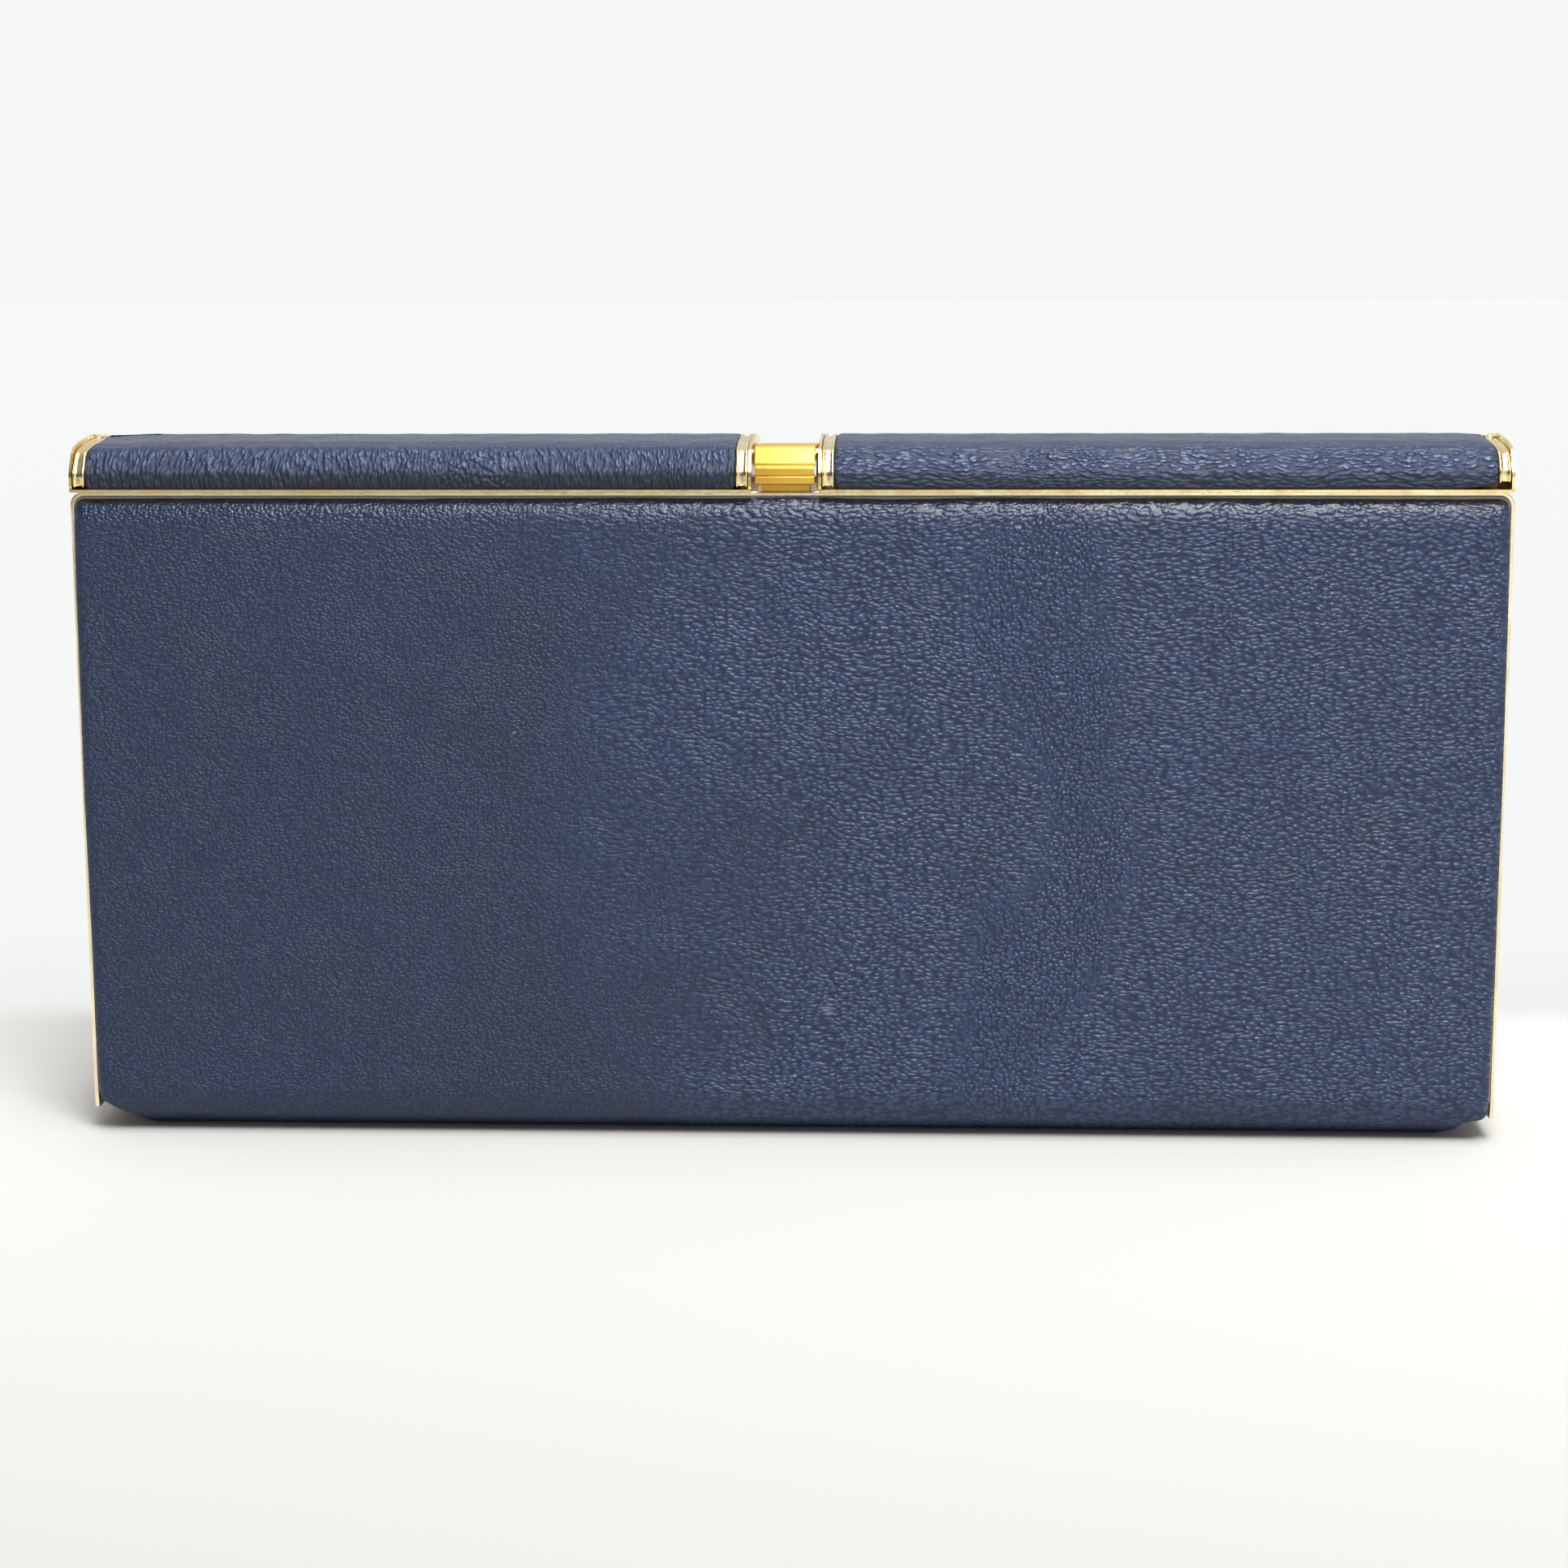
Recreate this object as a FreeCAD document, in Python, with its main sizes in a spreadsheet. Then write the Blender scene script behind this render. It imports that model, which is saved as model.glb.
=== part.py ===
"""Spectacle case: two panels in brass rims, hinged at the bottom corners and held by a snap latch.

Frame: +X runs to the right along the case, +Y to the rear, +Z up. The origin is the centre of the
underside. The front half lies at negative Y, and the rear half mirrors it. All sizes are in mm.
"""
import FreeCAD, Part
import os

import Sketcher

Vector = FreeCAD.Vector

DIMENSIONS = {
    # whole case
    "case_width": 178.8,          # over the rims
    "case_depth": 25.0,           # over the leather faces
    "rim_top": 82.3,              # upper face of the rims
    "bar_height": 6.4,            # from the rims up to the crown of the top bars
    # rims
    "rim_wall": 0.6,
    "rim_corner": 1.8,
    "rim_parting": 0.1,           # from the mid-plane to the inner edge of a rim
    "rim_edge": 10.6,             # from the mid-plane to the outer edge of a rim
    "rim_foot": 3.0,
    "rim_round": 0.2,             # rounding of a rim's outer edge
    # corner hinges
    "hinge_height": 5.5,
    "ear_radius": 2.5,
    "ear_relief": 0.3,            # space round the front ear in the rear rim
    "ear_gap": 0.1,               # between the two ears
    "ear_reach": 5.5,             # how far the rear ear's tongue runs back
    "tongue_weld": 3.2,           # where the tongue meets the rear rim
    "pin_radius": 0.9,
    "pin_play": 0.05,
    "pin_head_radius": 1.7,
    "pin_head": 0.35,
    # panels
    "lining_wall": 0.4,
    "board_wall": 1.2,
    "board_foot": 5.0,
    "lining_foot": 3.0,
    "leather_wall": 0.8,
    "leather_gap": 0.05,          # between a rim's edge and the leather in front of it
    "leather_side": 0.8,          # from the rim's outer side in to the leather's edge
    "leather_drop": 0.8,          # from the rims' upper faces down to the leather's top edge
    "leather_foot": 2.9,
    "leather_corner": 1.5,
    "leather_heel": 2.2,          # rounding of the leather's two lower corners
    "leather_round": 1.2,
    "leather_lip_side": 2.2,      # from the rim's outer side in to the end of the bottom lip
    # spine
    "spine_side": 3.5,            # from the rim's outer side in to the end of the spine
    "spine_reach": 9.9,
    "spine_rise": 2.85,
    "spine_flat": 7.4,
    "spine_bend": 3.0,
    "spine_lining_reach": 5.0,
    # top bars
    "bar_gap": 8.3,               # between the left and right trays
    "bar_side": 0.4,              # from the rim's outer side in to a tray's outer end
    "bar_parting": 0.2,           # from the mid-plane to a bar
    "bar_reach": 12.2,            # from the mid-plane to a bar's outer face
    "tray_wall": 0.35,
    "bar_nose": 2.4,              # from the rim up to the start of a bar's rounded nose
    "bar_nose_bend": 1.6,
    "bar_brow": 1.9,              # from the bar's outer face in to its upper front bend
    "bar_brow_drop": 1.1,         # from the crown down to that bend
    "bar_brow_bend": 2.2,
    "bar_slope": 6.8,             # from the mid-plane to the middle of the upper face
    "bar_slope_drop": 0.45,
    "bar_slope_bend": 6.0,
    "bar_foot_bend": 0.4,
    "cap_thick": 1.55,
    "cap_play": 0.05,
    "cap_lift": 0.25,
    "cap_round": 0.3,
    "bar_leather": 0.8,
    # rivets of the bars
    "rivet_radius": 0.7,
    "rivet_head_radius": 1.3,
    "rivet_head": 0.4,
    "rivet_grip": 2.5,            # how far a rivet reaches above the rim
    "rivet_depth": 5.5,           # from the mid-plane
    "rivet_first": 15.0,          # from the middle of the case
    "rivet_pitch": 31.5,
    # latch
    "latch_width": 7.5,
    "latch_wall": 0.6,
    "latch_lip_radius": 1.0,
    "latch_lip_reach": 11.4,
    "latch_lip_rise": 2.2,        # rises are measured from the rims' upper faces
    "latch_chin_reach": 12.1,     # where the front face leaves the rolled lip
    "latch_chin_rise": 2.6, 
    "latch_brow_reach": 10.5,     # where the front face turns into the top
    "latch_brow_rise": 5.6, 
    "latch_brow_bend": 0.9,
    "latch_neck_reach": 7.4,      # where the top narrows to the knuckle
    "latch_neck_rise": 4.8, 
    "latch_neck_overlap": 0.4,
    "knuckle_width": 5.9,
    "knuckle_radius": 1.2,
    "latch_pin_reach": 9.5,
    "latch_pin_rise": 2.9, 
    "latch_pin_radius": 0.6,
    "latch_pin_end": 0.3,
    "bracket_wall": 0.5,
    "bracket_front": 6.5,
    "lug_wall": 0.6,
    "lug_reach": 1.1,             # from the pin's axis to a lug's edges
    "lug_bend": 1.0,
    "spring_width": 4.0,
    "spring_wall": 0.25,
    "spring_bend_reach": 4.6,     # from the mid-plane to the spring's bend
    "spring_bend": 1.5,
    "spring_tip_reach": 1.4,
    "spring_rise": 2.1, 
    "catch_width": 6.0,
    "catch_wall": 0.6,
    "catch_reach": 10.3,
    "catch_height": 1.9, 
    "catch_foot": 3.2,
    # gussets
    "gusset_foot": 9.0,
    "gusset_drop": 2.0,           # from the rims' upper faces down to the top of a gusset
    "gusset_side": 1.0,           # from the rim's outer side in to the gusset's outer edge
    "gusset_fold": 12.5,
    "gusset_wall": 0.9,
    "gusset_foot_fold": 0.6,
    "gusset_foot_wall": 0.4,
}

RIVETS_PER_BAR = 3
GUSSET_STATIONS = (-1.0, -0.5, 0.0, 0.5, 1.0)   # across the case, as a share of its half depth
GUSSET_FOLDS = (0.0, 1.0, 0.1, 1.0, 0.0)        # how far each station is drawn in

doc = FreeCAD.newDocument("spectacle_case")
sheet = doc.addObject("Spreadsheet::Sheet", "Dim")
for row, (name, value) in enumerate(DIMENSIONS.items(), start=1):
    sheet.set("A%d" % row, name)
    sheet.set("B%d" % row, str(value))
    sheet.setAlias("B%d" % row, name)
doc.recompute()

nodes = []


def size(expression):
    """The value of an expression of the sheet, in mm."""
    return float(sheet.evalExpression(expression))


def bound(name):
    """An expression of plain aliases, rewritten so that other objects can use it."""
    words = name.replace("(", "( ").replace(")", " )").split()
    return " ".join("Dim." + word if word in DIMENSIONS else word for word in words)


def keep(part, label):
    """Name a finished sub-part and list it for writing."""
    part.Label = label
    nodes.append(part)
    return part


# ---- sketches and features -------------------------------------------------------------------

def new_sketch(body, role, offset):
    """An empty sketch on one of the body's origin planes, moved along the plane's normal."""
    sketch = body.newObject("Sketcher::SketchObject", body.Name + "_sketch")
    plane = [item for item in body.Origin.OriginFeatures if item.Role == role][0]
    sketch.AttachmentSupport = [(plane, "")]
    sketch.MapMode = "FlatFace"
    sketch.setExpression("AttachmentOffset.Base.z", bound(offset))
    return sketch


def bind(sketch, rule, expression):
    """Add a constraint and tie its value to the sheet."""
    sketch.setExpression("Constraints[%d]" % sketch.addConstraint(rule), bound(expression))


def draw_outline(sketch, corners):
    """A closed outline whose corners are (across, up) or (across, up, radius) expressions."""
    places = [(size(corner[0]), size(corner[1])) for corner in corners]
    first = sketch.GeometryCount
    count = len(corners)
    for index, (across, up) in enumerate(places):
        far = places[(index + 1) % count]
        sketch.addGeometry(Part.LineSegment(Vector(across, up, 0), Vector(far[0], far[1], 0)), False)
    for index in range(count):
        following = first + (index + 1) % count
        sketch.addConstraint(Sketcher.Constraint("Coincident", first + index, 2, following, 1))
        for kind, place in (("DistanceX", 0), ("DistanceY", 1)):
            rule = Sketcher.Constraint(kind, -1, 1, first + index, 1, places[index][place])
            bind(sketch, rule, corners[index][place])
    for index, corner in enumerate(corners):
        if len(corner) == 3:
            arc = sketch.GeometryCount
            sketch.fillet(first + index, 1, size(corner[2]), True, True)
            bind(sketch, Sketcher.Constraint("Radius", arc, size(corner[2])), corner[2])


def draw_circle(sketch, across, up, radius):
    """A circle placed by its centre."""
    circle = Part.Circle(Vector(size(across), size(up), 0), Vector(0, 0, 1), size(radius))
    index = sketch.addGeometry(circle, False)
    rules = (
        (Sketcher.Constraint("DistanceX", -1, 1, index, 3, size(across)), across),
        (Sketcher.Constraint("DistanceY", -1, 1, index, 3, size(up)), up),
        (Sketcher.Constraint("Radius", index, size(radius)), radius),
    )
    for rule, expression in rules:
        bind(sketch, rule, expression)


def pad(body, sketch, length):
    """Material from the sketch along its plane's normal."""
    feature = body.newObject("PartDesign::Pad", body.Name + "_pad")
    feature.Profile = sketch
    feature.setExpression("Length", bound(length))
    doc.recompute()
    return feature


def pocket(body, sketch, depth=None, reverse=False):
    """A cut from the sketch: to a depth, or through everything on both sides."""
    before = body.Shape.Volume
    feature = body.newObject("PartDesign::Pocket", body.Name + "_pocket")
    feature.Profile = sketch
    feature.Reversed = reverse
    if depth is None:
        feature.Type = "ThroughAll"
        feature.Midplane = True
    else:
        feature.setExpression("Length", bound(depth))
    doc.recompute()
    if body.Shape.Volume >= before:
        raise RuntimeError("%s cuts nothing" % feature.Name)
    return feature


def round_edges(body, radius, chosen):
    """Fillet the edges of the body that the test picks."""
    base = body.Tip
    picked = ["Edge%d" % (n + 1) for n, edge in enumerate(base.Shape.Edges) if chosen(edge.BoundBox)]
    if not picked:
        raise RuntimeError("%s has no edge to round" % body.Name)
    feature = body.newObject("PartDesign::Fillet", body.Name + "_fillet")
    feature.Base = (base, picked)
    feature.setExpression("Radius", bound(radius))
    doc.recompute()
    return feature


def block(name, role, offset, length, corners):
    """A body with one padded outline."""
    body = doc.addObject("PartDesign::Body", name)
    sketch = new_sketch(body, role, offset)
    draw_outline(sketch, corners)
    pad(body, sketch, length)
    return body


def mirrored(source, label, normal):
    """A mirror image of a finished sub-part, as a sub-part of its own."""
    image = doc.addObject("Part::Mirroring", label)
    image.Source = source
    image.Normal = normal
    doc.recompute()
    return keep(image, label)


def to_the_right(source):
    return mirrored(source, source.Label.replace("left", "right"), Vector(1, 0, 0))


def to_the_rear(source):
    return mirrored(source, source.Label.replace("front", "rear"), Vector(0, 1, 0))


# ---- rims and corner hinges ------------------------------------------------------------------

def rivet_places():
    """Distances of the bar rivets from the middle of the case."""
    steps = ["rivet_first + %d * rivet_pitch" % step for step in range(RIVETS_PER_BAR)]
    return [side + "( " + step + " )" for side in ("-", "") for step in steps]


def rim_strip(name, offset, rivet_depth):
    """The U-shaped strip of one rim, with its rivet holes."""
    outer, inner = "( case_width / 2 )", "( case_width / 2 - rim_wall )"
    under, bend = "rim_top - rim_wall", "rim_corner - rim_wall"
    body = block(name, "XZ_Plane", offset, "rim_edge - rim_parting", [
        ("- " + outer, "rim_foot"), ("- " + outer, "rim_top", "rim_corner"),
        (outer, "rim_top", "rim_corner"), (outer, "rim_foot"),
        (inner, "rim_foot"), (inner, under, bend),
        ("- " + inner, under, bend), ("- " + inner, "rim_foot")])
    holes = new_sketch(body, "XY_Plane", "rim_top + rim_wall")
    for across in rivet_places():
        draw_circle(holes, across, rivet_depth, "rivet_radius")
    pocket(body, holes, "3 * rim_wall")
    edge = size("rim_edge")
    round_edges(body, "rim_round", lambda box: min(abs(box.YMin), abs(box.YMax)) > edge - 0.01)
    return body


def bore(body, radius):
    """A hole or relief on the hinge axis, through both sides of a rim."""
    sketch = new_sketch(body, "YZ_Plane", "0 * pin_radius")
    draw_circle(sketch, "0 * pin_radius", "hinge_height", radius)
    pocket(body, sketch)


def front_rim():
    body = rim_strip("front_rim", "rim_parting", "- rivet_depth")
    for start in ("- case_width / 2", "case_width / 2 - rim_wall"):
        ear = new_sketch(body, "YZ_Plane", start)
        draw_circle(ear, "0 * ear_radius", "hinge_height", "ear_radius")
        pad(body, ear, "rim_wall")
    bore(body, "pin_radius + pin_play")
    return keep(body, "front_rim")


def rear_rim():
    """The rear rim: relieved round the front ears, with its own ears joggled inwards."""
    body = rim_strip("rear_rim", "- rim_edge", "rivet_depth")
    bore(body, "ear_radius + ear_relief")
    foot, head = "hinge_height - ear_radius", "hinge_height + ear_radius"
    inner_face = "case_width / 2 - rim_wall"
    steps = (
        (inner_face + " - ear_gap", "ear_gap", "tongue_weld"),
        (inner_face + " - ear_gap - rim_wall", "rim_wall", "0 * ear_reach"),
    )
    for near, thick, start in steps:
        for offset in ("- ( " + near + " + " + thick + " )", near):
            tongue = new_sketch(body, "YZ_Plane", offset)
            draw_outline(tongue, [(start, foot), (start, head), ("ear_reach", head), ("ear_reach", foot)])
            pad(body, tongue, thick)
    for offset in ("- ( " + inner_face + " - ear_gap )", inner_face + " - ear_gap - rim_wall"):
        ear = new_sketch(body, "YZ_Plane", offset)
        draw_circle(ear, "0 * ear_radius", "hinge_height", "ear_radius")
        pad(body, ear, "rim_wall")
    bore(body, "pin_radius")
    return keep(body, "rear_rim")


def hinge_pin():
    """The left rivet: a head inside, a shank through both ears and a head outside."""
    inside = "case_width / 2 - 2 * rim_wall - ear_gap"
    body = doc.addObject("PartDesign::Body", "hinge_pin_left")
    discs = (
        ("- ( " + inside + " )", "pin_head", "pin_head_radius"),
        ("- ( case_width / 2 + pin_play )", "2 * rim_wall + ear_gap + pin_play", "pin_radius"),
        ("- ( case_width / 2 + pin_play + pin_head )", "pin_head", "pin_head_radius"),
    )
    for offset, length, radius in discs:
        sketch = new_sketch(body, "YZ_Plane", offset)
        draw_circle(sketch, "0 * pin_radius", "hinge_height", radius)
        pad(body, sketch, length)
    outside = -size("case_width / 2 + pin_play + pin_head")
    round_edges(body, "pin_head / 2", lambda box: box.XMax < outside + 0.01)
    to_the_right(keep(body, "hinge_pin_left"))


# ---- panels ----------------------------------------------------------------------------------

def panel_outline(side, foot, top, corner):
    """An upright plate: square feet and rounded upper corners."""
    half = "( case_width / 2 - ( " + side + " ) )"
    return [("- " + half, foot), ("- " + half, top, corner), (half, top, corner), (half, foot)]


def padding_outline():
    """The padding's outline, one leather wall inside the leather's."""
    return panel_outline("leather_side + leather_wall", "board_foot",
                         "rim_top - leather_drop - leather_wall", "leather_corner - leather_wall")


def panel_plates():
    """Board and lining, which fill the rim, and the padding under the leather."""
    fitted = ("rim_wall", "rim_top - rim_wall", "rim_corner - rim_wall")
    board = block("front_board", "XZ_Plane", "rim_edge - board_wall", "board_wall",
                  panel_outline(fitted[0], "board_foot", *fitted[1:]))
    lining = block("front_lining", "XZ_Plane", "rim_edge - board_wall - lining_wall", "lining_wall",
                   panel_outline(fitted[0], "lining_foot", *fitted[1:]))
    padding = block("front_padding", "XZ_Plane", "rim_edge + leather_gap",
                    "case_depth / 2 - leather_wall - rim_edge - leather_gap",
                    padding_outline())
    for body in (board, lining, padding):
        to_the_rear(keep(body, body.Name))


def panel_leather():
    """The leather skin: rounded over the padding, with a lip that turns under the board."""
    half = "( case_width / 2 - leather_side )"
    body = block("front_leather", "XZ_Plane", "rim_edge + leather_gap",
                 "case_depth / 2 - rim_edge - leather_gap", [
                     ("- " + half, "leather_foot", "leather_heel"),
                     ("- " + half, "rim_top - leather_drop", "leather_corner"),
                     (half, "rim_top - leather_drop", "leather_corner"),
                     (half, "leather_foot", "leather_heel")])
    lip_half = "( case_width / 2 - leather_lip_side - leather_heel )"
    lip = new_sketch(body, "XZ_Plane", "rim_edge - board_wall")
    draw_outline(lip, [("- " + lip_half, "leather_foot"), ("- " + lip_half, "board_foot"),
                       (lip_half, "board_foot"), (lip_half, "leather_foot")])
    pad(body, lip, "board_wall + leather_gap")
    face = -size("case_depth / 2")
    round_edges(body, "leather_round", lambda box: box.YMax < face + 0.01)
    hollow = new_sketch(body, "XZ_Plane", "rim_edge + leather_gap")
    draw_outline(hollow, padding_outline())
    pocket(body, hollow, "case_depth / 2 - leather_wall - rim_edge - leather_gap", reverse=True)
    to_the_rear(keep(body, "front_leather"))


def spine():
    """The leather channel under the case, and its lining."""
    length = "case_width - 2 * spine_side"
    start = "- ( case_width / 2 - spine_side )"
    outside = [("spine_reach", "spine_rise"), ("spine_flat", "0 * spine_rise", "spine_bend")]
    inside = [("( spine_flat - leather_wall / 2 )", "leather_wall", "spine_bend - leather_wall"),
              ("( spine_reach - leather_wall )", "spine_rise")]
    outline = [("- " + corner[0],) + corner[1:] for corner in outside]
    outline += outside[::-1] + inside[::-1]
    outline += [("- " + corner[0],) + corner[1:] for corner in inside]
    leather = block("spine_leather", "YZ_Plane", start, length, outline)
    keep(leather, "spine_leather")
    reach, top = "spine_lining_reach", "( leather_wall + lining_wall )"
    lining = block("spine_lining", "YZ_Plane", start, length, [
        ("- " + reach, "leather_wall"), ("- " + reach, top), (reach, top), (reach, "leather_wall")])
    keep(lining, "spine_lining")


def gusset():
    """The folded fabric of the left end: deep folds at the top that run out at the foot."""
    outer = size("case_width / 2 - gusset_side")
    reach = size("rim_edge - board_wall - lining_wall")
    sections = (
        (size("gusset_foot"), size("gusset_foot_fold"), size("gusset_foot_wall")),
        (size("rim_top - gusset_drop"), size("gusset_fold"), size("gusset_wall")),
    )
    rings = []
    for height, fold, wall in sections:
        places = [(outer - fold * share, reach * station)
                  for station, share in zip(GUSSET_STATIONS, GUSSET_FOLDS)]
        ring = [Vector(-across, along, height) for across, along in places]
        ring += [Vector(wall - across, along, height) for across, along in reversed(places)]
        rings.append(Part.makePolygon(ring + ring[:1]))
    feature = doc.addObject("Part::Feature", "gusset_left")
    feature.Shape = Part.makeLoft(rings, True, True)
    feature.Placement = FreeCAD.Placement()
    to_the_right(keep(feature, "gusset_left"))


# ---- top bars --------------------------------------------------------------------------------

def bar_section(inset, foot):
    """The section of a front bar, drawn in from its outer face by the inset."""
    near = "- ( bar_parting + " + inset + " )"
    far = "- ( bar_reach - " + inset + " )"
    brow = "- ( bar_reach - bar_brow - 0.6 * " + inset + " )"
    return [
        (near, foot), (near, "rim_top + bar_height - " + inset),
        ("- bar_slope", "rim_top + bar_height - bar_slope_drop - " + inset, "bar_slope_bend"),
        (brow, "rim_top + bar_height - bar_brow_drop - " + inset, "bar_brow_bend"),
        (far, "rim_top + bar_nose", "bar_nose_bend"), (far, foot, "bar_foot_bend")]


def drill(body):
    """Rivet holes through a left-hand bar part."""
    holes = new_sketch(body, "XY_Plane", "rim_top")
    for across in rivet_places()[:RIVETS_PER_BAR]:
        draw_circle(holes, across, "- rivet_depth", "rivet_radius")
    pocket(body, holes, "rivet_grip", reverse=True)


def all_four(body):
    """Keep a front left bar part and its three mirror images."""
    left = keep(body, body.Name)
    right = to_the_right(left)
    to_the_rear(left)
    to_the_rear(right)


def bar_parts():
    """Tray, core, leather and end caps of the front left bar."""
    inner_end, outer_end = "bar_gap / 2", "( case_width / 2 - bar_side )"
    floor = "rim_top + tray_wall"
    near, far = "- bar_parting", "- bar_reach"
    tray = block("front_tray_left", "YZ_Plane", "- " + outer_end, outer_end + " - bar_gap / 2", [
        (near, "rim_top"), (near, floor), (far, floor), (far, "rim_top")])
    for offset in ("- " + outer_end, "- ( " + inner_end + " + tray_wall )"):
        wall = new_sketch(tray, "YZ_Plane", offset)
        draw_outline(wall, bar_section("0 * bar_leather", floor))
        pad(tray, wall, "tray_wall")
    drill(tray)
    all_four(tray)

    inset = "( tray_wall + cap_play + cap_thick )"
    start = "- ( " + outer_end + " - " + inset + " )"
    length = outer_end + " - bar_gap / 2 - 2 * " + inset
    core = block("front_core_left", "YZ_Plane", start, length,
                 bar_section("bar_leather", floor + " + bar_leather / 2"))
    leather = block("front_bar_leather_left", "YZ_Plane", start, length,
                    bar_section("0 * bar_leather", floor))
    hollow = new_sketch(leather, "YZ_Plane", start)
    draw_outline(hollow, bar_section("bar_leather", floor + " + bar_leather / 2"))
    pocket(leather, hollow)
    for body in (core, leather):
        drill(body)
        all_four(body)

    ends = (
        ("outer", "- ( " + outer_end + " - tray_wall - cap_play )", True),
        ("inner", "- ( " + inner_end + " + tray_wall + cap_play + cap_thick )", False),
    )
    for name, offset, outward in ends:
        cap = block("front_%s_cap_left" % name, "YZ_Plane", offset, "cap_thick",
                    bar_section("0 * bar_leather", floor + " + cap_lift"))
        face = cap.Shape.BoundBox.XMin if outward else cap.Shape.BoundBox.XMax
        round_edges(cap, "cap_round", lambda box: max(abs(box.XMin - face), abs(box.XMax - face)) < 0.01)
        all_four(cap)


def bar_rivets():
    """Six rivets, from under the rim up into the cores, kept as one group."""
    rivets = []
    for number, across in enumerate(rivet_places(), start=1):
        discs = (
            ("head", "rivet_head_radius", "rivet_head", "rim_top - rim_wall - rivet_head"),
            ("shank", "rivet_radius", "rim_wall + rivet_grip", "rim_top - rim_wall"),
        )
        pieces = []
        for part, radius, height, foot in discs:
            disc = doc.addObject("Part::Cylinder", "rivet_%s_%d" % (part, number))
            disc.setExpression("Radius", bound(radius))
            disc.setExpression("Height", bound(height))
            disc.setExpression("Placement.Base.x", bound(across))
            disc.setExpression("Placement.Base.y", bound("- rivet_depth"))
            disc.setExpression("Placement.Base.z", bound(foot))
            pieces.append(disc)
        rivet = doc.addObject("Part::Fuse", "rivet_%d" % number)
        rivet.Base, rivet.Tool = pieces
        rivets.append(rivet)
    group = doc.addObject("Part::Compound", "front_rivets")
    group.Links = rivets
    doc.recompute()
    to_the_rear(keep(group, "front_rivets"))


# ---- latch -----------------------------------------------------------------------------------

def latch_plate():
    """The snap plate: a rolled lip, a leaning front face, a top that falls to the knuckle."""
    width, wall = "latch_width", " - latch_wall"
    chin, brow, neck = "latch_chin_reach", "latch_brow_reach", "latch_neck_reach"
    brow_top, neck_top = "rim_top + latch_brow_rise", "rim_top + latch_neck_rise"
    body = block("latch_plate", "YZ_Plane", "- " + width + " / 2", width, [
        ("- " + chin, "rim_top + latch_chin_rise"), ("- " + brow, brow_top, "latch_brow_bend"),
        (neck, neck_top), (neck, neck_top + wall),
        ("- ( " + brow + wall + " )", brow_top + wall, "latch_brow_bend" + wall),
        ("- latch_lip_reach", "rim_top + latch_lip_rise")])
    lip = new_sketch(body, "YZ_Plane", "- " + width + " / 2")
    draw_circle(lip, "- latch_lip_reach", "rim_top + latch_lip_rise", "latch_lip_radius")
    pad(body, lip, width)
    start = "- knuckle_width / 2"
    pin, centre = "latch_pin_reach", "rim_top + latch_pin_rise"
    arm = new_sketch(body, "YZ_Plane", start)
    draw_outline(arm, [
        (neck + " - latch_neck_overlap", neck_top),
        ("( " + pin + " - knuckle_radius )", neck_top + " - latch_pin_end / 2", "latch_brow_bend"),
        ("( " + pin + " + knuckle_radius - latch_pin_end )", centre + " + latch_wall"),
        (pin, centre),
        ("( " + pin + " - latch_brow_bend )", centre + " + latch_wall", "latch_pin_end"),
        (neck + " - latch_neck_overlap", neck_top + wall)])
    pad(body, arm, "knuckle_width")
    knuckle = new_sketch(body, "YZ_Plane", start)
    draw_circle(knuckle, pin, centre, "knuckle_radius")
    pad(body, knuckle, "knuckle_width")
    hole = new_sketch(body, "YZ_Plane", "0 * latch_width")
    draw_circle(hole, pin, centre, "latch_pin_radius + pin_play")
    pocket(body, hole)
    return keep(body, "latch_plate")


def latch_bracket():
    """A base on the rear rim with two lugs that carry the pin."""
    half, floor = "latch_width / 2", "rim_top + bracket_wall"
    body = block("latch_bracket", "YZ_Plane", "- " + half, "latch_width", [
        ("bracket_front", "rim_top"), ("bracket_front", floor),
        ("rim_edge", floor), ("rim_edge", "rim_top")])
    near = "( latch_pin_reach - lug_reach )"
    far = "( latch_pin_reach + lug_reach )"
    top = "rim_top + latch_pin_rise + lug_reach"
    for start in ("- " + half, half + " - lug_wall"):
        lug = new_sketch(body, "YZ_Plane", start)
        draw_outline(lug, [(near, floor), (near, top, "lug_bend"), (far, top, "lug_bend"), (far, floor)])
        pad(body, lug, "lug_wall")
    hole = new_sketch(body, "YZ_Plane", "0 * lug_wall")
    draw_circle(hole, "latch_pin_reach", "rim_top + latch_pin_rise", "latch_pin_radius")
    pocket(body, hole)
    return keep(body, "latch_bracket")


def latch_pin():
    body = doc.addObject("PartDesign::Body", "latch_pin")
    sketch = new_sketch(body, "YZ_Plane", "- ( latch_width / 2 + latch_pin_end )")
    draw_circle(sketch, "latch_pin_reach", "rim_top + latch_pin_rise", "latch_pin_radius")
    pad(body, sketch, "latch_width + 2 * latch_pin_end")
    round_edges(body, "latch_pin_end / 2", lambda box: box.XLength < 0.01)
    return keep(body, "latch_pin")


def latch_spring():
    """A leaf spring that stands on the rear rim under the plate."""
    foot, top, rise = "rim_top", "rim_top + spring_wall", " + spring_rise"
    body = block("latch_spring", "YZ_Plane", "- spring_width / 2", "spring_width", [
        ("bracket_front", foot), ("spring_bend_reach", foot, "spring_bend"),
        ("spring_tip_reach", foot + rise), ("spring_tip_reach", top + rise),
        ("spring_bend_reach", top, "spring_bend"), ("bracket_front", top)])
    return keep(body, "latch_spring")


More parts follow.
